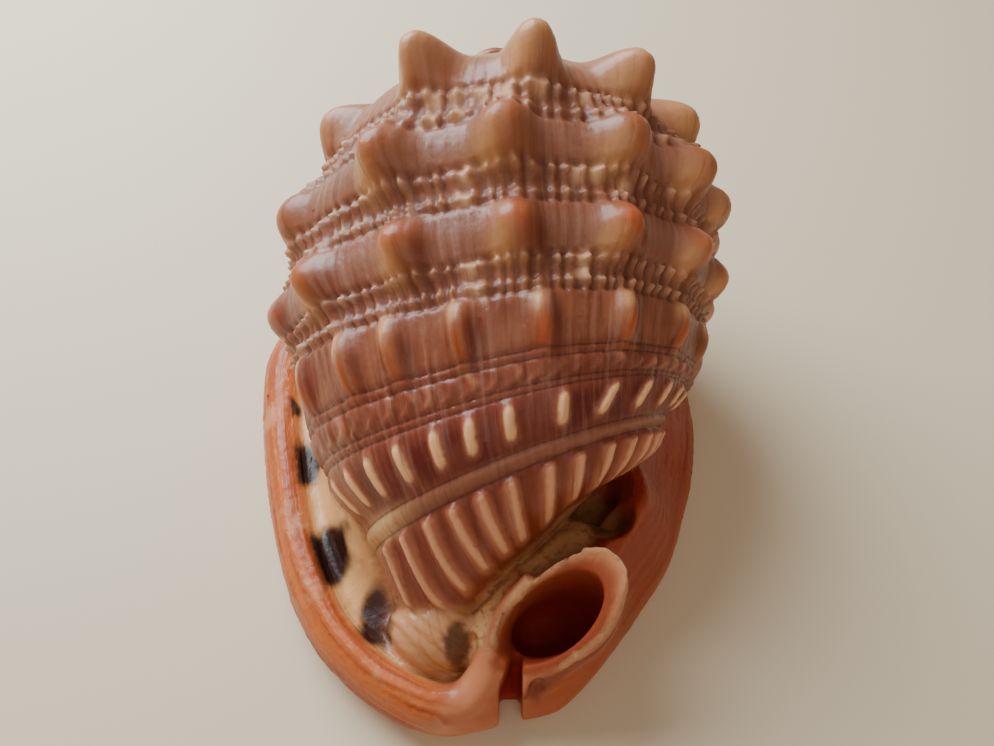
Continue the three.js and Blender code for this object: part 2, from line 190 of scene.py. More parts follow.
def knob_paint(degrees, place):
    """Shares of a knob's orange top, its brighter core, its cream flank and the dark red beside it."""
    top, core, flank, patch = (np.zeros_like(degrees) for _ in range(4))
    for row, (_, _, wide, long, angles) in KNOB_ROWS.items():
        low = row == "fourth_row"
        for angle in angles:
            x, y = wrap(degrees - angle) / wide, (place - PLACE[row]) / long
            if low:
                knob = bell(np.hypot(x / 0.6, (y - 0.55) / 0.65))
                pale = bell(np.hypot((x + 0.35) / 0.48, (y + 0.55) / 0.42))
            else:
                knob = bell(np.hypot(x / 0.8, (y + 0.05) / 0.8))
                pale = bell(np.hypot((x + 0.62) / 0.55, (y - 0.62) / 0.55))
            bright = (row in ("third_row", "fourth_row")) * (0.35 + 0.65 * float(angle > 0))
            beside = float(low or row == "third_row") * bell(np.hypot((x - 0.85) / 0.5, (y - 0.35) / 0.9))
            top = np.maximum(top, knob)
            core = np.maximum(core, bright * knob ** 2)
            flank = np.maximum(flank, pale)
            patch = np.maximum(patch, beside)
    return top, core, flank, patch


def pleat_angle(pleat, place):
    low, high = PLEAT_SPAN
    t = np.clip((place - low) / (high - low), 0, 1)
    top, half, foot = pleat
    return top * (1 - t) * (1 - 2 * t) + 4 * half * t * (1 - t) + foot * t * (2 * t - 1)


def crests(degrees, place):
    """How much of a pleat's crest lies at each point, 0 to 1."""
    crest = np.zeros_like(degrees)
    for pleat in PLEATS:
        off = degrees - pleat_angle(pleat, place)
        crest = np.maximum(crest, np.where(off < 0, bell(off / 4.2), bell(off / 2.7)))
    end = np.interp(degrees, *PLEAT_END)
    span = smoothstep(place, PLEAT_SPAN[0], PLEAT_SPAN[0] + 0.25)
    span = span * (1 - smoothstep(place, end - 0.25, end + 0.15))
    return crest * span * smoothstep(degrees, -80, -62) * (1 - smoothstep(degrees, 60, 78))


def beyond_pleats(degrees, place):
    """Shares of the pale folds and of the sandy groove."""
    end = np.interp(degrees, *PLEAT_END)
    past = smoothstep(place, end, end + 0.25)
    right = smoothstep(degrees, -50, -38)
    fold = past * (1 - right) * smoothstep(degrees, -100, -84)
    groove = past * right * (1 - smoothstep(degrees, 42, 56))
    return fold, groove


def bars(degrees, place):
    low, high = BAR_SPAN
    t = np.clip((place - low) / (high - low), 0, 1)
    bar = np.zeros_like(degrees)
    for top, foot in BARS:
        bar = np.maximum(bar, bell((degrees - (top + (foot - top) * t)) / 2.1))
    return bar * smoothstep(place, low - 0.15, low + 0.35) * (1 - smoothstep(place, high - 0.35, high + 0.05))


def riblets(degrees, place):
    """Riblet profile 0 to 1, and the number of the riblet that each point lies on."""
    phase = (degrees / RIBLET_STEP + 0.5 * wobble(degrees / 11.0, 2)
             + 0.12 * wobble(place * 3 + degrees / 20, 5))
    number = np.round(phase)
    return 0.5 + 0.5 * np.cos(2 * np.pi * phase), number


def in_band(place, low, high, soft=0.1):
    soft = soft / 2
    return smoothstep(place, low - soft, low + soft) * (1 - smoothstep(place, high - soft, high + soft))


def cream_beads(degrees, place):
    bead = np.zeros_like(degrees)
    for angle, at in CREAM_BEADS:
        bead = np.maximum(bead, bell(np.hypot((degrees - angle) / 1.9, (place - at) / 0.15)))
    return bead


def cord_beads(degrees, place, width):
    """The wide cord's profile across, and that of its beads along it."""
    along = 0.5 + 0.5 * np.cos(2 * np.pi * (degrees + 8 * wobble(place)) / CORD_BEADS_STEP)
    return bell((place - CORD_BEADS_PLACE) / width), along


def suture(degrees, place):
    """The line where one turn of the spire meets the next."""
    off = (place + degrees / 360) % 1
    return np.maximum(bell((off - 0.5) / 0.07), 0.45 * bell((off - 0.62) / 0.16))


def relief(degrees, place):
    """How far the fine ornament stands out from the knobbed whorl."""
    profile, number = riblets(degrees, place)
    h = np.zeros_like(degrees)
    for band, (low, upper, lower, high) in enumerate(BEAD_BANDS):
        inside = in_band(place, low, high, 0.16)
        strength = 0.45 + 0.55 * scatter(number, band)
        h += inside * (-0.85 + 0.65 * strength * profile ** 1.3)
        for cord, at in enumerate((upper, lower)):
            bead = scatter(number, 7 + 2 * band + cord)
            h += 0.42 * bell((place - at) / 0.085)
            h += (0.25 + 0.75 * bead) * profile ** 2 * bell((place - at) / 0.1)
    for row in ("shoulder_row", "second_row", "third_row"):
        h += 0.45 * bell((place - PLACE[row]) / 0.45)
    h += 0.55 * cream_beads(degrees, place)
    low, high = CORD_GROOVES[0], CORD_GROOVES[-1]
    cords = in_band(place, low, high, 0.12)
    cord, beads = cord_beads(degrees, place, 0.22)
    h += 0.5 * cords * (cord * beads)
    for groove in CORD_GROOVES:
        h -= 0.35 * bell((place - groove) / 0.045)
    h += 1.25 * bars(degrees, place)
    ridge = bell((place - RIDGE_PLACE) / 0.13)
    for groove in RIDGE_GROOVES:
        ridge = ridge - 0.5 * bell((place - groove) / 0.05)
    h += 0.45 * ridge
    h += 2.3 * crests(degrees, place) - 0.8 * in_band(place, 15.5, 17.9, 0.5)
    fold, groove = beyond_pleats(degrees, place)
    h -= 0.9 * groove
    h += fold * 0.2 * np.cos(2 * np.pi * (place * 6.5 + 0.3 * wobble(degrees / 9, 3)))
    h += 0.10 * wobble(degrees * 1.9 + 2 * place, 3) * smoothstep(place, 5, 6)
    spire = (1 - smoothstep(place, 4.6, 5.2)) * smoothstep(place, 1.0, 1.6)
    h += spire * (0.16 * np.cos(2 * np.pi * place * 4.5) - 1.0 * suture(degrees, place))
    return h


def whorl_point(degrees, place, inset=0.0, swell=1.0, fine=0.0, knobs=True):
    along, radius, aside, lift, slant, flare, tuck = np.moveaxis(ring_at(place), -1, 0)
    angle = np.radians(degrees)
    widening = (1 - smoothstep(degrees, -95, -15)) * smoothstep(degrees, -180, -110)
    tucking = smoothstep(degrees, 35, 95) * (1 - smoothstep(degrees, 120, 180))
    out, back = knobs_at(degrees, place) if knobs else (0.0, 0.0)
    radius = swell * (radius + flare * widening - tuck * tucking - inset + out + fine)
    along = along + swell * slant * np.sin(angle) + back
    lift = lift + radius * np.cos(angle)
    return np.stack([
        COIL_CENTRE[0] + aside + FLATTENING * radius * np.sin(angle),
        COIL_CENTRE[1] + along * math.cos(COIL_TILT) - lift * math.sin(COIL_TILT),
        COIL_CENTRE[2] + along * math.sin(COIL_TILT) + lift * math.cos(COIL_TILT),
    ], -1)


# ---- Base, lip and shield
BASE_OUTLINE = (
    (13.5, -65.6), (20.8, -58.8), (29.8, -48), (37.6, -37), (43, -23.8), (46.6, -11.7), (48, 0.6), (47, 13),
    (44, 25), (36, 35.5), (21, 42.5), (2, 45), (-18, 44), (-37, 39), (-51, 29), (-57, 16), (-57, 3),
    (-53.5, -15), (-47.5, -36), (-38.8, -53), (-29.3, -63), (-19.5, -69), (-11, -71.4), (-3.5, -70.6),
    (2.5, -69), (8.5, -67.6),
)
# Sections of the flange from its underside, out to its edge and up on the whorl: inward, up
LIP_SECTION = ((22, -3), (4, -3), (1, 1.5), (0, 5.5), (0.7, 9.5), (3, 12.8), (6, 13.8), (8.6, 12.6),
               (9.4, 10.4), (13.5, 12), (18, 22))
FRONT_SECTION = ((22, -3), (4, -3), (1, 1.5), (0, 5.5), (0.7, 9.5), (3, 12.8), (6, 13.8), (8.2, 12.4),
                 (9, 10.4), (12.5, 9.6), (18, 11))
SHIELD_SECTION = ((22, -3), (3, -3), (0.6, 0.6), (0, 3), (0.7, 5.5), (3, 8), (6.5, 11.5), (10, 15.5),
                  (14, 20.5), (17, 25), (21, 26))
BACK_SECTION = ((22, -3), (3, -3), (0.6, 0.6), (0, 2.5), (0.6, 4.5), (3, 7), (6, 9.5), (9, 12), (12, 15),
                (15, 18), (19, 20))
CANAL_SECTION = ((22, -3), (3, -3), (0.6, 0.6), (0, 3.5), (0.8, 7.5), (2.6, 13), (5, 20), (7.5, 26), (10, 29),
                 (13, 26), (17, 14))
FLANGE_MIDDLE = np.array([-3.0, -14.0])


def flange_edge(u):
    step = 1e-4
    edge = curve_through(BASE_OUTLINE, u % 1, closed=True)
    ahead = curve_through(BASE_OUTLINE, (u + step) % 1, closed=True)
    tangent = ahead - edge
    tangent /= np.linalg.norm(tangent, axis=-1, keepdims=True)
    return edge, np.stack([-tangent[..., 1], tangent[..., 0]], -1)


def flange_sides(x, y):
    """Shares of the lip, its front part, the canal's side and the back at places on the outline."""
    lip = smoothstep(-x, -12, 4)
    canal = smoothstep(-y, 18, 38) * (1 - smoothstep(-y, 50, 64))
    return lip, lip * smoothstep(-y, 38, 58), canal, smoothstep(y, 18, 36)


def flange_point(u, v):
    rows = len(LIP_SECTION) + 1
    across = np.clip((v * rows - 1) / (rows - 2), 0, 1)
    edge, inward = flange_edge(u)
    lip, front, canal, back = flange_sides(edge[..., 0], edge[..., 1])
    section = curve_through(SHIELD_SECTION, across, doubled_ends=True)
    for share, table in ((canal, CANAL_SECTION), (lip, LIP_SECTION), (front, FRONT_SECTION),
                         (back, BACK_SECTION)):
        share = share[..., None]
        section = section * (1 - share) + share * curve_through(table, across, doubled_ends=True)
    plan = edge + inward * section[..., :1]
    ends = (np.clip(1 - v * rows, 0, 1) + np.clip(v * rows - (rows - 1), 0, 1))[..., None]
    plan = plan * (1 - ends) + FLANGE_MIDDLE * ends
    height = section[..., 1] * (1 - ends[..., 0]) + ends[..., 0] * np.where(v < 0.5, -3.0, 18.0)
    return np.concatenate([plan, height[..., None]], -1)


# ---- Siphonal canal
CANAL_RIM = ((-2.6, -64.5, 13.5), (-0.8, -57.5, 20), (3.2, -51.5, 27), (10.6, -46.6, 33), (18.4, -44.6, 36),
             (22.8, -48, 36), (22.8, -53, 32.5), (19.2, -58.6, 26.5), (12.4, -62.2, 20), (7, -65, 15),
             (2, -67, 12))
CANAL_FOOT = ((-3, -65, -3), (-2, -58, -3), (1.5, -50.5, -3), (9, -44, -3), (19, -39, -3), (29, -40, -3),
              (30, -45, -3), (24, -53, -3), (15.5, -61.5, -3), (8, -66, -3), (0, -67.5, -3))
CANAL_LEAN = 0.45  # under 1, the canal's walls lean over near the foot and stand up near the rim
# Sections of the bore from the air over its mouth down: centre and two half axes
CANAL_BORE = (
    ((5.2, -61.8, 38), (12, 7, 10), (-4.6, 5.6, 0.4)), ((10, -54.7, 25.4), (8.3, 5.2, 8), (-3.8, 4.8, 0.3)),
    ((11.5, -53, 17), (8, 4.2, 3), (-3.4, 4.6, 0)), ((10.5, -52, 9), (7.5, 3, 0.5), (-2.2, 4.4, 0)),
    ((9.5, -51.5, 5), (4.5, 1.5, 0), (-1, 2.5, 0)),
)
# The slot between lip and canal: its left and right side, and how far back it is open to the floor
SLOT = (0.4, 4.8, -64.0)
SLOT_INSIDE = (3.2, 4.8, -58.0)  # where the slot ends in the canal
CANAL_FLOOR = 4.0
# The long mouth underneath: place and share of the full width along it
APERTURE_PATH = ((0.8, -52.5, 0.4), (-1.5, -46, 0.7), (-8, -36, 1), (-14, -18, 1), (-16, 0, 1),
                 (-14, 16, 0.9), (-8, 28, 0.5))
APERTURE_WIDTH = 8.0
APERTURE_TOP = 18.0
APERTURE_HALF_HEIGHT = 20.0
# Egg-shaped hollows: middle, half axes and lean. The chip is the hollow at the canal's hooked end.
UMBILICUS = ((21.5, -36, 31), (5.5, 5, 12), 0.25)
CHIP = ((8.1, -65.2, 13.9), (2.3, 3.1, 4.0), 0.3)
# The column in which the lip turns up into the canal's wall, and the furrow along the canal's other side:
# place and radius along each
COLUMN = ((-11, -67.5, 9.5, 3.6), (-5.5, -65.5, 11, 3.8), (-2.2, -61.5, 14, 3.4), (-0.6, -57, 18, 2.8),
          (2.4, -52.2, 24, 2.2), (6.5, -48.6, 29, 1.8))
FURROW = ((6.8, -66.8, 10.5, 2.4), (9.2, -65.4, 13.4, 3), (12.8, -63.8, 16.2, 2.8), (18, -61, 18, 2.5),
          (23.4, -55.8, 17.6, 2), (27.5, -49.5, 15.5, 1.2))
# Sand packed into the groove between the pleats and the canal: place and radius along it
SAND = ((-4, -55, 17, 2.6), (0.6, -49.8, 19, 3.4), (4.5, -45.7, 20.4, 4), (8.6, -41.8, 21, 4.4),
        (12.7, -39.4, 20.6, 4.8), (16.8, -38.2, 19.4, 4.6), (20.8, -39.2, 17.4, 3.8), (25, -40.5, 14.5, 3))
# Middle and half axes of the swelling with the pale folds, and of the rough sandy patch with painted shade
# round the navel
FRONT_FOLDS = ((-11.5, -52, 10.5), (10.5, 9, 10.5))
NAVEL_SHADE = ((22.5, -33, 13), (6.4, 6, 10))
BASE_DIP = ((-9, -12, 0), (27, 42, 2), 0.0)
TOOTH_STEP = (4.6, 3.4)  # along the mouth, on the lip's side and on the pillar's side
# Dark blotches of the gutter inside the lip: place in plan and half axes
GUTTER_BLOTCHES = ((-43.7, -16.4, 4.5, 7), (-35.7, -38.1, 6, 8.5), (-24.5, -50.7, 4.5, 7),
                   (-7.5, -57, 2.7, 4), (-48.5, -2, 2.2, 3))
# The pillar inside the hollow: along the coil's axis, aside and radius
PILLAR = ((-70, 8, 11), (-40, 5, 9), (-10, 3, 7), (20, 0, 6), (46, 0, 5))


def scroll_point(u, up):
    low = curve_through(CANAL_FOOT, u % 1, closed=True)
    high = curve_through(CANAL_RIM, u % 1, closed=True)
    t = np.clip(up, 0, 1)[..., None]
    plan = low[..., :2] + (high[..., :2] - low[..., :2]) * t ** CANAL_LEAN
    height = low[..., 2:] + (high[..., 2:] - low[..., 2:]) * t
    return np.concatenate([plan, height], -1)


# ---- Making meshes
def deselect():
    if bpy.context.object and bpy.context.object.mode != "OBJECT":
        bpy.ops.object.mode_set(mode="OBJECT")
    bpy.ops.object.select_all(action="DESELECT")


def only(piece):
    deselect()
    piece.select_set(True)
    bpy.context.view_layer.objects.active = piece


def read(piece, what="co"):
    """Places or normals of the piece's vertices, as the mesh holds them."""
    flat = np.empty(len(piece.data.vertices) * 3)
    piece.data.vertices.foreach_get(what, flat)
    return flat.reshape(-1, 3)


def points_of(piece):
    """The piece's vertices in millimetres, as the tables are written."""
    return read(piece) / MM + PLAN_MIDDLE


def put_points(piece, points):
    piece.data.vertices.foreach_set("co", ((points - PLAN_MIDDLE) * MM).ravel())
    piece.data.update()


def apply_modifier(piece, kind, **settings):
    only(piece)
    modifier = piece.modifiers.new(kind.lower(), kind)
    for name, value in settings.items():
        setattr(modifier, name, value)
    bpy.ops.object.modifier_apply(modifier=modifier.name)


def close_up(piece):
    """Merges seams and poles and turns the faces outward."""
    only(piece)
    bpy.ops.object.mode_set(mode="EDIT")
    bpy.ops.mesh.select_all(action="SELECT")
    bpy.ops.mesh.remove_doubles(threshold=1e-7)
    bpy.ops.mesh.normals_make_consistent(inside=False)
    bpy.ops.object.mode_set(mode="OBJECT")


def wrapped_grid(name, columns, rows, point):
    """A grid of faces wrapped round into a closed form by point(u, v)."""
    deselect()
    bpy.ops.mesh.primitive_grid_add(x_subdivisions=columns, y_subdivisions=rows, size=2)
    piece = bpy.context.object
    piece.name = name
    u, v = (read(piece)[:, :2].T + 1) / 2
    put_points(piece, point(np.round(u * columns) / columns % 1, np.round(v * rows) / rows))
    close_up(piece)
    return piece


def capped_tube(name, columns, steps, section_point):
    """A closed form through sections, its ends closed by a point in the middle of the end sections."""
    def point(u, v):
        t = np.clip((v * (steps + 2) - 1) / steps, 0, 1)
        q = section_point(u, t)
        for closed, end in ((v <= 0, 0.0), (v >= 1, 1.0)):
            if closed.any():
                ring = section_point(np.linspace(0, 1, 64, endpoint=False), np.full(64, end))
                q[closed] = ring.mean(axis=0)
        return q
    return wrapped_grid(name, columns, steps + 2, point)


def ellipse_point(rows, u, t):
    """A point on the form through ellipses, each given as its centre and two half axes."""
    table = np.array([np.concatenate(row) for row in rows], float)
    row = curve_through(table, t, doubled_ends=True)
    a = 2 * np.pi * u[..., None]
    return row[..., :3] + row[..., 6:9] * np.cos(a) + row[..., 3:6] * np.sin(a)


def ellipse_sections(name, rows, columns, steps):
    return capped_tube(name, columns, steps, lambda u, t: ellipse_point(rows, u, t))


def dimple(name, at, half, lean):
    deselect()
    bpy.ops.mesh.primitive_uv_sphere_add(segments=48, ring_count=24, radius=1)
    piece = bpy.context.object
    piece.name = name
    q = read(piece) * np.array(half)
    c, s = math.cos(lean), math.sin(lean)
    q = np.stack([q[:, 0], q[:, 1] * c - q[:, 2] * s, q[:, 1] * s + q[:, 2] * c], -1)
    put_points(piece, q + np.array(at))
    return piece


def ball(name, at, half):
    return dimple(name, at, half, 0.0)


def heading(table, t):
    """The direction in which the curve through the table's places runs."""
    step = 1e-3
    ahead = curve_through(table, np.clip(t + step, 0, 1)) - curve_through(table, np.clip(t - step, 0, 1))
    ahead = ahead[..., :3]
    return ahead / np.linalg.norm(ahead, axis=-1, keepdims=True)


def rod_point(rows, u, t):
    """A point on a round rod through places given with a radius."""
    table = np.array(rows, float)
    row = curve_through(table, t)
    ahead = heading(table, t)
    side = np.cross(ahead, np.array([0.0, 0.0, 1.0]))
    side /= np.linalg.norm(side, axis=-1, keepdims=True)
    a = 2 * np.pi * u[..., None]
    return row[..., :3] + row[..., 3:] * (side * np.cos(a) + np.cross(side, ahead) * np.sin(a))


def bent_rod(name, rows):
    return capped_tube(name, 24, 48, lambda u, t: rod_point(rows, u, t))


def bore_wall(u, t):
    """The canal's inner wall for t up to 0.9 and its bottom beyond."""
    wall = ellipse_point(CANAL_BORE, u, np.clip(t / 0.9, 0, 1))
    middle = np.array(CANAL_BORE[-1][0])
    return wall + (middle - wall) * np.clip((t - 0.9) / 0.1, 0, 1)[..., None]


def wedge(name, front, back, low, high):
    """An upright block between two pairs of corners, each given as left x, right x and y."""
    piece = block(name, (0, 0, low), (1, 1, high))
    q = points_of(piece)
    share = q[:, 1:2]
    left, right = ((1 - share) * front[i] + share * back[i] for i in (0, 1))
    x = left + (right - left) * q[:, :1]
    y = (1 - share) * front[2] + share * back[2]
    put_points(piece, np.concatenate([x, y, q[:, 2:]], 1))
    return piece


def block(name, low, high):
    deselect()
    bpy.ops.mesh.primitive_cube_add(size=1)
    piece = bpy.context.object
    piece.name = name
    low, high = np.array(low, float), np.array(high, float)
    put_points(piece, low + (read(piece) + 0.5) * (high - low))
    return piece


def volume(piece):
    mesh = bmesh.new()
    mesh.from_mesh(piece.data)
    size = mesh.calc_volume(signed=True)
    mesh.free()
    return size


def combine(piece, other, operation):
    before = volume(piece)
    apply_modifier(piece, "BOOLEAN", operation=operation, solver="MANIFOLD", object=other)
    changed = volume(piece) - before
    if changed * (1 if operation == "UNION" else -1) <= 0:
        raise RuntimeError(f"{other.name} didn't combine with {piece.name}")
    bpy.data.objects.remove(other, do_unlink=True)


def join_all():
    detail = 1.0 if FINE else 0.6
    shell = wrapped_grid("shell_form", int(260 * detail), int(230 * detail), lambda u, v: whorl_point(
        360 * u - 180, v * LAST_PLACE))
    combine(shell, wrapped_grid("flange", int(260 * detail), 72, flange_point), "UNION")
    combine(shell, capped_tube("scroll", 120, 30, scroll_point), "UNION")

    combine(shell, bent_rod("column", COLUMN), "UNION")
    combine(shell, ball("front_folds", *FRONT_FOLDS), "UNION")
    combine(shell, bent_rod("sand", SAND), "UNION")

    hollow = wrapped_grid("hollow", 64, 40, hollow_point)
    pillar_rows = []
    axis = np.array([0, math.cos(COIL_TILT), math.sin(COIL_TILT)])
    lift = np.array([0, -math.sin(COIL_TILT), math.cos(COIL_TILT)])
    for along, aside, radius in PILLAR:
        centre = COIL_CENTRE + axis * along + np.array([aside, 0, 0])
        pillar_rows.append((centre, lift * radius, np.array([-radius, 0, 0])))
    combine(hollow, ellipse_sections("pillar", pillar_rows, 24, 16), "DIFFERENCE")
    combine(shell, hollow, "DIFFERENCE")
    combine(shell, ellipse_sections("bore", CANAL_BORE, 72, 40), "DIFFERENCE")
    combine(shell, aperture(), "DIFFERENCE")
    combine(shell, dimple("umbilicus", *UMBILICUS), "DIFFERENCE")
    combine(shell, dimple("base_dip", *BASE_DIP), "DIFFERENCE")
    combine(shell, dimple("chip", *CHIP), "DIFFERENCE")
    combine(shell, bent_rod("furrow", FURROW), "DIFFERENCE")
    combine(shell, block("slot", (SLOT[0], -120, -60), (SLOT[1], SLOT[2], 120)), "DIFFERENCE")
    slot_front = (SLOT[0], SLOT[1], SLOT[2] - 0.1)
    combine(shell, wedge("slot_inside", slot_front, SLOT_INSIDE, CANAL_FLOOR, 120), "DIFFERENCE")
    combine(shell, block("under", (-120, -120, -60), (120, 120, 0)), "DIFFERENCE")
    return shell


def hollow_point(u, v):
    first, last = PLACE["suture"], PLACE["bars"]
    swell = np.where(v >= 1, 0.0, np.sin(np.pi * np.clip(v, 0, 1)) ** 0.35)
    return whorl_point(360 * u - 180, first + v * (last - first), WALL, swell, knobs=False)


def aperture():
    path = np.array([(x, y, 0) for x, y, _ in APERTURE_PATH], float)
    shares = np.array([(share,) for _, _, share in APERTURE_PATH], float)

    def section_point(u, t):
        centre = curve_through(path, t)
        tangent = heading(path, t)
        side = np.stack([-tangent[..., 1], tangent[..., 0], 0 * tangent[..., 0]], -1)
        half = curve_through(shares, t) * APERTURE_WIDTH / 2
        a = 2 * np.pi * u
        centre = centre + side * half * np.cos(a)[..., None]
        centre[..., 2] = APERTURE_TOP - APERTURE_HALF_HEIGHT + APERTURE_HALF_HEIGHT * np.sin(a)
        return centre
    return capped_tube("mouth", 32, 60, section_point)


# ---- Where each point of the finished skin lies
def nearest(samples, points):
    """For each point, the number of the nearest sample and its distance."""
    tree = KDTree(len(samples))
    for i, p in enumerate(samples):
        tree.insert(p, i)
    tree.balance()
    found = [tree.find(p) for p in points]
    return np.array([f[1] for f in found]), np.array([f[2] for f in found])


def locate_on_whorl(points):
    """Angle and place on the knobbed whorl nearest to each point, and the distance."""
    turns = np.arange(-180, 180, 1.0)
    places = np.arange(0, LAST_PLACE + 0.01, 0.08)
    grid_d, grid_p = (a.ravel() for a in np.meshgrid(turns, places, indexing="ij"))
    samples = whorl_point(grid_d, grid_p)
    index, _ = nearest(samples, points)
    d, p = grid_d[index].copy(), grid_p[index].copy()
    for _ in range(3):
        q = whorl_point(d, p)
        e_d, e_p = 0.2, 0.02
        g_d = (whorl_point(d + e_d, p) - q) / e_d
        g_p = (whorl_point(d, np.clip(p + e_p, 0, LAST_PLACE)) - q) / e_p
        r = points - q
        a, b, c = (g_d * g_d).sum(-1), (g_d * g_p).sum(-1), (g_p * g_p).sum(-1)
        x, y = (g_d * r).sum(-1), (g_p * r).sum(-1)
        det = np.maximum(a * c - b * b, 1e-9)
        d = d + np.clip((c * x - b * y) / det, -1.5, 1.5)
        p = np.clip(p + np.clip((a * y - b * x) / det, -0.12, 0.12), 0, LAST_PLACE)
    return wrap(d), p, np.linalg.norm(points - whorl_point(d, p), axis=-1)


def outside_whorl(samples):
    turn, place, _ = locate_on_whorl(samples)
    skin = whorl_point(turn, place)
    outward = whorl_point(turn, place, inset=-1.0) - skin
    return ((samples - skin) * outward).sum(-1) > -0.4


def locate_on(surface, points, columns, rows, low=0.0, high=1.0, whole=False):
    """Where each point lies on the visible part of a surface, or the whole of it, and how far from it."""
    grid_u, grid_v = (a.ravel() for a in np.meshgrid(
        np.linspace(0, 1, columns, endpoint=False), np.linspace(low, high, rows), indexing="ij"))
    samples = surface(grid_u, grid_v)
    if not whole:
        seen = outside_whorl(samples)
        grid_u, grid_v, samples = grid_u[seen], grid_v[seen], samples[seen]
    index, far = nearest(samples, points)
    return grid_u[index], grid_v[index], far


def edges_of(piece):
    pairs = np.empty(len(piece.data.edges) * 2, int)
    piece.data.edges.foreach_get("vertices", pairs)
    return pairs.reshape(-1, 2)


def evened(values, pairs, rounds):
    """Values averaged with their neighbours' along the edges."""
    count = np.bincount(pairs.ravel(), minlength=len(values)).astype(float)
    shape = (-1,) + (1,) * (values.ndim - 1)
    for _ in range(rounds):
        total = np.zeros_like(values)
        np.add.at(total, pairs[:, 0], values[pairs[:, 1]])
        np.add.at(total, pairs[:, 1], values[pairs[:, 0]])
        values = 0.5 * values + 0.5 * total / np.maximum(count, 1).reshape(shape)
    return values


def mark(piece, name, values):
    attribute = piece.data.attributes.new(name, "FLOAT", "POINT")
    attribute.data.foreach_set("value", np.asarray(values, np.float32))


def reach_from(middle, half, points):
    """Distance from the middle of an egg shape, 1 on its skin."""
    return np.linalg.norm((points - np.array(middle)) / np.array(half), axis=-1)


def mouth_teeth(points):
    """Teeth along the mouth underneath: how far they stand out, and how close each point is to the mouth."""
    path = curve_through(np.array([row[:2] for row in APERTURE_PATH], float), np.linspace(0, 1, 200))
    length = np.concatenate([[0], np.cumsum(np.linalg.norm(np.diff(path, axis=0), axis=1))])
    gap = np.linalg.norm(points[:, None, :2] - path[None], axis=-1) if len(points) else np.zeros((0, 200))
    index = gap.argmin(axis=1)
    off, along = gap.min(axis=1), length[index]
    left = points[:, 0] < path[index, 0]
    step = np.where(left, TOOTH_STEP[0], TOOTH_STEP[1])
    tooth = (0.5 + 0.5 * np.cos(2 * np.pi * (along / step + 0.1 * wobble(along / 7, 4)))) ** 1.4
    reach = bell((off - np.where(left, 7.5, 7.0)) / 3.2)
    ends = smoothstep(along, 6, 14) * (1 - smoothstep(along, length[-1] - 14, length[-1] - 4))
    return tooth * reach * ends, reach * ends


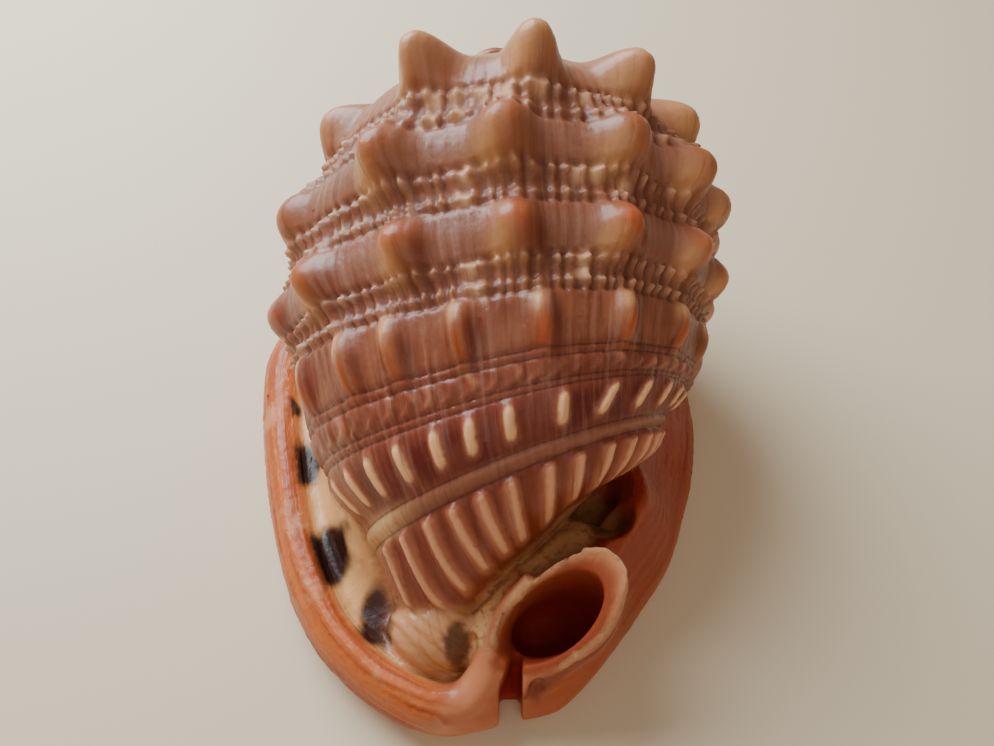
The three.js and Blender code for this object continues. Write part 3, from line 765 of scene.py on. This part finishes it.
def build_shell():
    shell = join_all()
    shell.name = "shell_skin"
    apply_modifier(shell, "REMESH", mode="VOXEL", voxel_size=VOXEL * MM)
    pairs = edges_of(shell)
    points = points_of(shell)

    turn, place, off_whorl = locate_on_whorl(points)
    _, across, off_flange = locate_on(flange_point, points, 900, 90, 0.16, 0.92)
    _, up, off_scroll = locate_on(scroll_point, points, 300, 60, 0.02, 1)
    _, bore_down, off_bore = locate_on(bore_wall, points, 120, 90, whole=True)
    _, _, off_furrow = locate_on(lambda u, t: rod_point(FURROW, u, t), points, 40, 100, whole=True)
    _, _, off_sand = locate_on(lambda u, t: rod_point(SAND, u, t), points, 40, 100)

    # Inner corners, where one form grows out of another, are rounded off
    eight = evened(points, pairs, 8)
    dent = smoothstep(((eight - points) * read(shell, "normal")).sum(-1), 0.12, 0.4)
    dent = np.clip(1.5 * evened(dent, pairs, 4), 0, 1)
    dent = dent * smoothstep(off_furrow, 0.8, 2.5) * smoothstep(reach_from(*CHIP[:2], points), 1.25, 1.8)
    rounded = evened(eight, pairs, 8)
    mild = evened(points, pairs, 1)
    points = mild + (rounded - mild) * dent[:, None]

    on_whorl = (1 - smoothstep(off_whorl, 0.35, 0.9)) * (1 - dent)
    soft = evened(on_whorl, pairs, 2) * (place > 1.2) * (place < 18.6)
    target = whorl_point(turn, place, fine=relief(turn, place))
    points = points + (target - points) * soft[:, None]
    put_points(shell, points)
    normal = read(shell, "normal")

    # Long wrinkles of the lip and shield, chips of the canal's rim, and teeth underneath
    x, y, z = points.T
    edge = np.stack([x, y], -1) / 14.0
    bend = wobble(edge[:, 0] + 2 * edge[:, 1], 6) + wobble(edge[:, 1] - edge[:, 0], 8)
    on_flange = (1 - smoothstep(off_flange, 0.4, 1.0)) * (1 - soft) * (normal[:, 2] > -0.6)
    wrinkles = wobble(across * 62 + 1.3 * bend, 3) * 0.16 + wobble(across * 150 + 1.8 * bend, 5) * 0.07
    wrinkles += 0.22 * lumps(points, 9.0, 4)
    rim = bell((1 - up) / 0.05) * (1 - smoothstep(off_scroll, 0.8, 1.6))
    folds = np.exp(-((reach_from(*FRONT_FOLDS, points) - 1) * 10) ** 2) * (off_whorl > 0.7)
    from_lip = np.hypot(x + 3, y + 40)
    wrinkles += folds * 0.22 * np.cos(2 * np.pi * from_lip / 1.9 + 1.2 * bend)
    on_flange = np.maximum(on_flange, folds)
    wrinkles += bell(off_sand / 1.2) * (0.25 * lumps(points, 1.3, 7) + 0.3 * lumps(points, 3.0, 9))
    on_flange = np.maximum(on_flange, bell(off_sand / 1.2))
    chips = rim * (0.35 * lumps(points, 1.6, 1) + 0.5 * lumps(points, 3.6, 2) - 0.25)
    points = points + normal * (on_flange * wrinkles + chips)[:, None]
    under = (normal[:, 2] < -0.35) & (z < 8)
    tooth, by_mouth = (np.zeros(len(points)) for _ in range(2))
    tooth[under], by_mouth[under] = mouth_teeth(points[under])
    points[:, 2] -= 1.7 * tooth
    points[:, 2] = np.maximum(points[:, 2], 0)
    put_points(shell, points)

    # Shares of the surfaces, for the colours
    weights = [np.exp(-(off / 0.8) ** 2) for off in (off_whorl, off_flange, off_scroll, off_bore)]
    weights[2] = weights[2] + 0.02 * smoothstep(-y, 42, 50)
    off_folds = (reach_from(*FRONT_FOLDS, points) - 1) * np.mean(FRONT_FOLDS[1])
    weights.append(np.exp(-(off_folds / 0.8) ** 2) * (off_bore > 1.5))
    weights.append(np.exp(-(off_sand / 0.9) ** 2) * (off_bore > 1.2))
    total = sum(weights) + 5e-4
    whorl, flange, scroll, bore, front, sand = (w / total for w in weights)
    both = flange + scroll
    scroll = both * evened(scroll / np.maximum(both, 1e-6), pairs, 40)
    flange = both - scroll
    top, core, flank, patch = knob_paint(turn, place)
    profile, number = riblets(turn, place)
    gap = bead = np.zeros(len(points))
    for band, (low, upper, lower, high) in enumerate(BEAD_BANDS):
        inside = in_band(place, low, high, 0.12)
        gap = np.maximum(gap, inside * (1 - profile) ** 1.5)
        for cord, at in enumerate((upper, lower)):
            pale = scatter(number, 7 + 2 * band + cord)
            bead = np.maximum(bead, (0.15 + 0.75 * pale ** 2) * profile ** 2 * bell((place - at) / 0.11))
    bead = np.maximum(bead, cream_beads(turn, place))
    cord, beads = cord_beads(turn, place, 0.24)
    blob = cord * beads ** 1.5
    keel = sum(bell((place - PLACE[row]) / 0.5) for row in ("shoulder_row", "second_row", "third_row"))
    fold, groove = beyond_pleats(turn, place)
    blotch = np.zeros(len(points))
    ragged = 0.22 * lumps(points, 3.0, 5)
    for bx, by, wide, long in GUTTER_BLOTCHES:
        off = np.hypot((x - bx) / wide, (y - by) / long) + ragged
        blotch = np.maximum(blotch, 1 - smoothstep(off, 0.68, 1.12))
    left = smoothstep(-x, -8, 6)
    gutter = smoothstep(across, 0.64, 0.7) * left
    corner = dent * smoothstep(-y, 33, 38) * smoothstep(x, -4, 4) * smoothstep(z, 8, 12) * (1 - bore)
    sand = np.maximum(np.maximum(sand, corner), groove * whorl)
    # Round the navel: rough and sandy brown, painted darker as shade in the hollow
    navel_sand_and_shade = 1 - smoothstep(reach_from(*NAVEL_SHADE, points), 0.9, 1.3)
    # Painted shade: the chip at the canal's hooked end is painted dark, as shade in the hollow
    hook_painted_shade = 1 - smoothstep(reach_from(*CHIP[:2], points), 0.9, 1.08)
    # Painted shade: the walls inside the slot take the deep red of the canal's depth, darker than outside, as
    # shade down the narrow slot; the canal's inside is red itself
    inner = in_band(x, SLOT[0] - 0.4, SLOT[1] + 0.4, 0.4) * in_band(y, SLOT[2] - 0.5, -50, 0.8)
    inner = inner * (z < CANAL_FLOOR + 9)
    bore = np.maximum(bore, inner)
    bore_down = np.maximum(bore_down, 0.55 * inner)
    masks = {
        "turn": turn, "place": place, "across": across, "whorl": whorl, "flange": flange, "scroll": scroll,
        "bore": bore, "down": bore_down, "rim": rim, "top": top, "core": core, "flank": flank, "patch": patch,
        "gap": gap, "bead": bead, "blob": blob, "bar": bars(turn, place), "crest": crests(turn, place),
        "keel": keel, "fold": fold, "gutter": gutter,
        "blotch": blotch * np.maximum(smoothstep(across, 0.6, 0.66), front),
        "sand": np.clip(sand, 0, 1), "navel_sand_and_shade": navel_sand_and_shade, "hook_painted_shade": hook_painted_shade, "tooth": tooth, "mouth": by_mouth,
        "under": evened(under.astype(float), pairs, 3),
        "left": left, "front": front, "calm": 1 - smoothstep(np.hypot(x - 6, y + 64), 12, 22),
        "suture": suture(turn, place) * (1 - smoothstep(place, 4.6, 5.2)) * smoothstep(place, 0.8, 1.4),
        "furrow": np.exp(-(off_furrow / 1.0) ** 2) * (1 - bore),
    }
    return shell, masks


shell, masks = build_shell()
only(shell)
bpy.ops.object.shade_smooth()
for name, values in masks.items():
    mark(shell, name, values)
triangles = sum(len(face.vertices) - 2 for face in shell.data.polygons)
if triangles > MOST_TRIANGLES:
    apply_modifier(shell, "DECIMATE", ratio=MOST_TRIANGLES / triangles)
shell.data.materials.clear()


# ---- Finish
WARMTH = (0.96, 0.76, 0.6)


def linear(red, green, blue):
    """A colour of the shell given as 0 to 255, a little warmer, ready for a socket."""
    return tuple((c / 255) ** 2.2 * warm for c, warm in zip((red, green, blue), WARMTH)) + (1,)


class Wire:
    """An output of a finish's node, usable in sums and products."""

    def __init__(self, finish, socket):
        self.finish, self.socket = finish, socket

    def calc(self, operation, *values):
        return self.finish.node("ShaderNodeMath", {"operation": operation}, dict(enumerate(values)))

    def __add__(self, other):
        return self.calc("ADD", self, other)

    __radd__ = __add__

    def __mul__(self, other):
        return self.calc("MULTIPLY", self, other)

    __rmul__ = __mul__

    def __sub__(self, other):
        return self.calc("SUBTRACT", self, other)

    def __rsub__(self, other):
        return self.calc("SUBTRACT", other, self)

    def above(self, low, high):
        """0 below low, 1 above high and straight between."""
        return self.finish.node("ShaderNodeMapRange", {"interpolation_type": "SMOOTHSTEP"},
                                {"Value": self, "From Min": low, "From Max": high})

    def line(self, at, width):
        """A narrow bell round one value."""
        off = (self - at) * (1 / width)
        return self.calc("EXPONENT", off * off * -1)


class Finish:
    """A material and the nodes that are laid on it."""

    def __init__(self, name, **numbers):
        self.material = bpy.data.materials.new(name)
        self.material.use_nodes = True
        self.tree = self.material.node_tree
        self.shader = self.tree.nodes["Principled BSDF"]
        for socket, value in numbers.items():
            self.shader.inputs[socket.replace("_", " ")].default_value = value

    def node(self, kind, settings, values, output=0):
        made = self.tree.nodes.new(kind)
        for setting, value in settings.items():
            setattr(made, setting, value)
        for socket, value in values.items():
            if isinstance(value, Wire):
                self.tree.links.new(value.socket, made.inputs[socket])
            else:
                made.inputs[socket].default_value = value
        return Wire(self, made.outputs[output])

    def feed(self, socket, wire):
        self.tree.links.new(wire.socket, self.shader.inputs[socket])

    def mark(self, name):
        return self.node("ShaderNodeAttribute", {"attribute_name": name}, {}, "Fac")

    def mix(self, a, b, share):
        return self.node("ShaderNodeMix", {"data_type": "RGBA"}, {0: share, 6: a, 7: b}, 2)

    def point(self, x, y, z=0.0):
        return self.node("ShaderNodeCombineXYZ", {}, {0: x, 1: y, 2: z})

    def noise(self, vector, scale, detail=2.0):
        return self.node("ShaderNodeTexNoise", {}, {"Vector": vector, "Scale": scale, "Detail": detail})

    def bump(self, height, strength, distance, under=None):
        sockets = {"Height": height, "Strength": strength, "Distance": distance}
        if under:
            sockets["Normal"] = under
        return self.node("ShaderNodeBump", {}, sockets)


def shell_finish():
    skin = Finish("glossy_shell", Coat_Roughness=0.15, Specular_IOR_Level=0.35)
    at = {name: skin.mark(name) for name in masks}
    turn, place, across = at["turn"], at["place"], at["across"]
    spot = skin.node("ShaderNodeTexCoord", {}, {}, "Object")
    growth = skin.noise(skin.point(turn * 0.62, place * 0.35), 1.0, 4.0)
    broad = skin.noise(skin.point(turn * 0.09, place * 0.8), 1.0, 1.0)
    cloudy = skin.noise(spot, 110.0, 3.0)
    grain = skin.noise(spot, 900.0, 3.0)

    # Whorl: mauve brown with greyish keels
    tone = skin.mix(linear(148, 94, 72), linear(116, 62, 44), broad.above(0.35, 0.7) * 0.75)
    tone = skin.mix(tone, linear(142, 104, 90), at["keel"] * 0.7)
    tone = skin.mix(tone, linear(128, 66, 50), place.above(12.3, 12.8) * 0.8)
    tone = skin.mix(tone, linear(124, 62, 48), place.above(13.45, 13.8))
    bar_band = place.above(13.6, 14.0) * (1 - place.above(14.9, 15.1))
    tone = skin.mix(tone, linear(96, 20, 8), bar_band * broad.above(0.4, 0.62) * 0.75)
    tone = skin.mix(tone, linear(134, 68, 50), place.above(15.2, 15.6))
    tone = skin.mix(tone, linear(210, 166, 130), (1 - turn.above(-84, -50)) * place.above(12.8, 14.2) * 0.5)
    tone = skin.mix(tone, linear(96, 30, 18), at["patch"] * 0.8)
    tone = skin.mix(tone, linear(96, 54, 36), at["gap"] * 0.75)
    tone = skin.mix(tone, linear(84, 44, 30), at["suture"] * 0.8)
    tone = skin.mix(tone, linear(166, 94, 50), at["top"] * 0.85)
    # Painted light: the shoulder row at the top and back is painted paler, most on its knob tops, for the
    # stronger light that falls there
    tone = skin.mix(tone, linear(216, 168, 130), (0.15 + 0.5 * at["top"]) * place.line(6.0, 1.0))
    tone = skin.mix(tone, linear(196, 92, 36), at["core"] * 0.75)
    tone = skin.mix(tone, linear(234, 186, 134), at["flank"] * (0.6 + 0.3 * (1 - turn.above(-45, -25))))
    tone = skin.mix(tone, linear(226, 190, 158), at["bead"])
    tone = skin.mix(tone, linear(210, 146, 116), at["blob"] * broad.above(0.45, 0.6) * 0.7)
    tone = skin.mix(tone, linear(160, 98, 76), at["bar"].above(0.02, 0.4) * 0.7)
    tone = skin.mix(tone, linear(250, 206, 164), at["bar"].above(0.35, 0.85))
    tone = skin.mix(tone, linear(156, 108, 90), place.line(15.21, 0.14) * 0.9)
    tone = skin.mix(tone, linear(222, 186, 140), place.line(15.21, 0.2) * (1 - turn.above(-62, -38)))
    # The pleat crests are cream; the broad paler tone round them, wider on their left sides, is partly their
    # own colour and partly painted highlight
    tone = skin.mix(tone, linear(184, 120, 96), at["crest"].above(0.2, 0.75) * 0.85)
    tone = skin.mix(tone, linear(236, 188, 158), at["crest"].above(0.72, 1.0) * 0.9)
    tone = skin.mix(tone, linear(212, 166, 128), at["fold"] * 0.9)
    # Painted shade: the cord grooves and the ridge's grooves are painted dark, as shade in the grooves
    painted_groove_shade = sum(place.line(groove, 0.03) for groove in CORD_GROOVES)
    for shadow in RIDGE_SHADOWS:
        painted_groove_shade = painted_groove_shade + place.line(shadow, 0.025)
    tone = skin.mix(tone, linear(74, 32, 22), painted_groove_shade * 0.6)
    pale_lines = growth.above(0.48, 0.75) * (1 - 0.7 * place.above(15.0, 15.4)) * 0.3
    dark_lines = (1 - growth).above(0.54, 0.72) * (0.35 + 0.3 * place.line(13.2, 1.0))
    tone = skin.mix(tone, linear(176, 148, 142), pale_lines)
    tone = skin.mix(tone, linear(84, 44, 34), dark_lines)

    # Lip and shield: orange with long wrinkles, the gutter cream with dark blotches
    flow = skin.node("ShaderNodeVectorMath", {"operation": "MULTIPLY"}, {0: spot, 1: (22.0, 22.0, 0.0)})
    flow = skin.node("ShaderNodeVectorMath", {"operation": "ADD"},
                     {0: flow, 1: skin.point(0.0, 0.0, across * 26)})
    long = skin.noise(flow, 1.0, 4.0) * (1 - at["calm"]) + skin.noise(spot, 70.0, 3.0) * at["calm"]
    lip = skin.mix(linear(200, 114, 64), linear(158, 72, 32), long.above(0.4, 0.68))
    lip = skin.mix(lip, linear(146, 48, 10), (1 - at["left"]) * (0.2 + 0.6 * across.above(0.25, 0.5)))
    lip = skin.mix(lip, linear(226, 176, 136), cloudy.above(0.55, 0.75) * 0.5 * at["left"])
    lip = skin.mix(lip, linear(228, 184, 134), at["gutter"])
    lip = skin.mix(lip, linear(48, 20, 12), at["blotch"])

    # Canal: pinkish outside, sandy chipped rim, deep red inside
    canal = skin.mix(linear(206, 140, 104), linear(180, 96, 62), long.above(0.4, 0.7))
    height = skin.node("ShaderNodeSeparateXYZ", {}, {0: spot}, 2)
    canal = skin.mix(canal, linear(172, 78, 38), (1 - height.above(0.006, 0.024)) * (1 - at["left"]) * 0.75)
    # Painted shade: the furrow beside the canal is painted darker red brown, as shade in the groove
    canal = skin.mix(canal, linear(132, 58, 34), at["furrow"] * 0.85)
    inside = skin.mix(linear(196, 122, 86), linear(152, 62, 36), at["down"].above(0.05, 0.32))
    inside = skin.mix(inside, linear(158, 46, 30), at["down"].above(0.35, 0.7))
    inside = skin.mix(inside, linear(112, 50, 34), cloudy.above(0.5, 0.75) * 0.4)
    chamber = skin.mix(linear(150, 96, 72), linear(90, 48, 34), cloudy)

    whole = skin.mix(chamber, tone, at["whorl"])
    whole = skin.mix(whole, lip, at["flange"])
    whole = skin.mix(whole, canal, at["scroll"])
    pale = skin.mix(linear(210, 162, 122), linear(174, 120, 84), growth.above(0.45, 0.7) * 0.5)
    whole = skin.mix(whole, skin.mix(pale, linear(60, 28, 18), at["blotch"] * 0.8), at["front"])
    whole = skin.mix(whole, linear(198, 118, 84), at["under"] * 0.9)
    whole = skin.mix(whole, linear(70, 28, 18), at["mouth"] * 0.75)
    whole = skin.mix(whole, linear(228, 196, 160), at["tooth"])
    whole = skin.mix(whole, canal, at["furrow"])
    whole = skin.mix(whole, inside, at["bore"])
    sand = skin.mix(linear(214, 174, 132), linear(184, 142, 104), turn.above(-30, 5))
    sand = skin.mix(sand, linear(120, 84, 54), skin.noise(spot, 600.0, 4.0).above(0.52, 0.66) * 0.55)
    whole = skin.mix(whole, sand, at["sand"])
    # The navel's hollow: sandy brown of its own, and darker as painted shade
    hollow = skin.mix(linear(156, 116, 84), linear(96, 64, 44), cloudy.above(0.4, 0.6))
    whole = skin.mix(whole, hollow, at["navel_sand_and_shade"] * 0.92)
    # Painted shade in the chip at the canal's hooked end
    whole = skin.mix(whole, linear(72, 36, 24), at["hook_painted_shade"])
    rim = skin.mix(linear(206, 166, 132), linear(140, 96, 66), cloudy.above(0.5, 0.7))
    whole = skin.mix(whole, rim, at["rim"] * 0.8)

    rough = 0.42 + 0.2 * (cloudy - 0.5) + 0.4 * at["sand"] + 0.2 * at["rim"] + 0.3 * at["bore"]
    rough = rough + 0.45 * at["navel_sand_and_shade"] + 0.2 * at["bead"] + 0.12 * at["gap"]
    lines = skin.bump(growth, 0.35, 0.0003)
    folds = skin.bump(long * at["flange"] * (1 - at["calm"]), 0.6, 0.0006, under=lines)
    pits = skin.bump(grain * (0.25 + at["sand"] + at["rim"]), 0.5, 0.0005, under=folds)
    skin.feed("Base Color", whole)
    skin.feed("Roughness", rough)
    skin.feed("Normal", pits)
    glossy = (1 - at["sand"]) * (1 - at["bore"]) * (1 - at["navel_sand_and_shade"]) * (1 - at["bead"])
    skin.feed("Coat Weight", 0.12 * glossy)
    return skin.material


shell.data.materials.append(shell_finish())

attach(shell, "root")
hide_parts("shell")

# ---- Floor, light and camera
FLOOR_COLOUR = (0.73, 0.58, 0.4, 1)
ROOM_COLOUR = (1.0, 0.93, 0.84, 1)
# The photograph's camera: its width and focal length in pixels, degrees down, and place in millimetres
PHOTO_WIDTH = 994
PHOTO_FOCAL = 770
PHOTO_PITCH = 56.5
PHOTO_PLACE = (0, -95, 168)
SENSOR = 36

bpy.ops.mesh.primitive_plane_add(size=6, location=(0, 0, 0))
floor = bpy.context.object
floor.name = "floor"
floor_material = bpy.data.materials.new("floor")
floor_material.use_nodes = True
floor_material.node_tree.nodes["Principled BSDF"].inputs["Base Color"].default_value = FLOOR_COLOUR
floor_material.node_tree.nodes["Principled BSDF"].inputs["Roughness"].default_value = 0.6
floor.data.materials.append(floor_material)


def area_light(name, spot, aim, size, power, colour):
    data = bpy.data.lights.new(name, "AREA")
    data.shape = "DISK"
    data.size = size
    data.energy = power
    data.color = colour
    lamp = bpy.data.objects.new(name, data)
    bpy.context.scene.collection.objects.link(lamp)
    lamp.location = spot
    lamp.rotation_euler = (Vector(aim) - Vector(spot)).to_track_quat("-Z", "Y").to_euler()


area_light("window", (-0.28, 0.34, 0.4), (-0.03, 0.06, 0.02), 0.5, 8, (0.8, 0.92, 1.0))
area_light("room", (0.1, -0.8, 0.9), (0, 0, 0.03), 1.2, 3.4, (1.0, 0.84, 0.66))
world = bpy.data.worlds.new("room_light")
bpy.context.scene.world = world
world.use_nodes = True
world.node_tree.nodes["Background"].inputs["Color"].default_value = ROOM_COLOUR
world.node_tree.nodes["Background"].inputs["Strength"].default_value = 0.29

camera_data = bpy.data.cameras.new("camera")
camera_data.sensor_width = SENSOR
camera_data.lens = PHOTO_FOCAL * SENSOR / PHOTO_WIDTH
camera = bpy.data.objects.new("camera", camera_data)
bpy.context.scene.collection.objects.link(camera)
camera.location = (Vector(PHOTO_PLACE) - Vector(PLAN_MIDDLE)) * MM
camera.rotation_euler = (math.radians(90 - PHOTO_PITCH), 0, 0)
bpy.context.scene.camera = camera
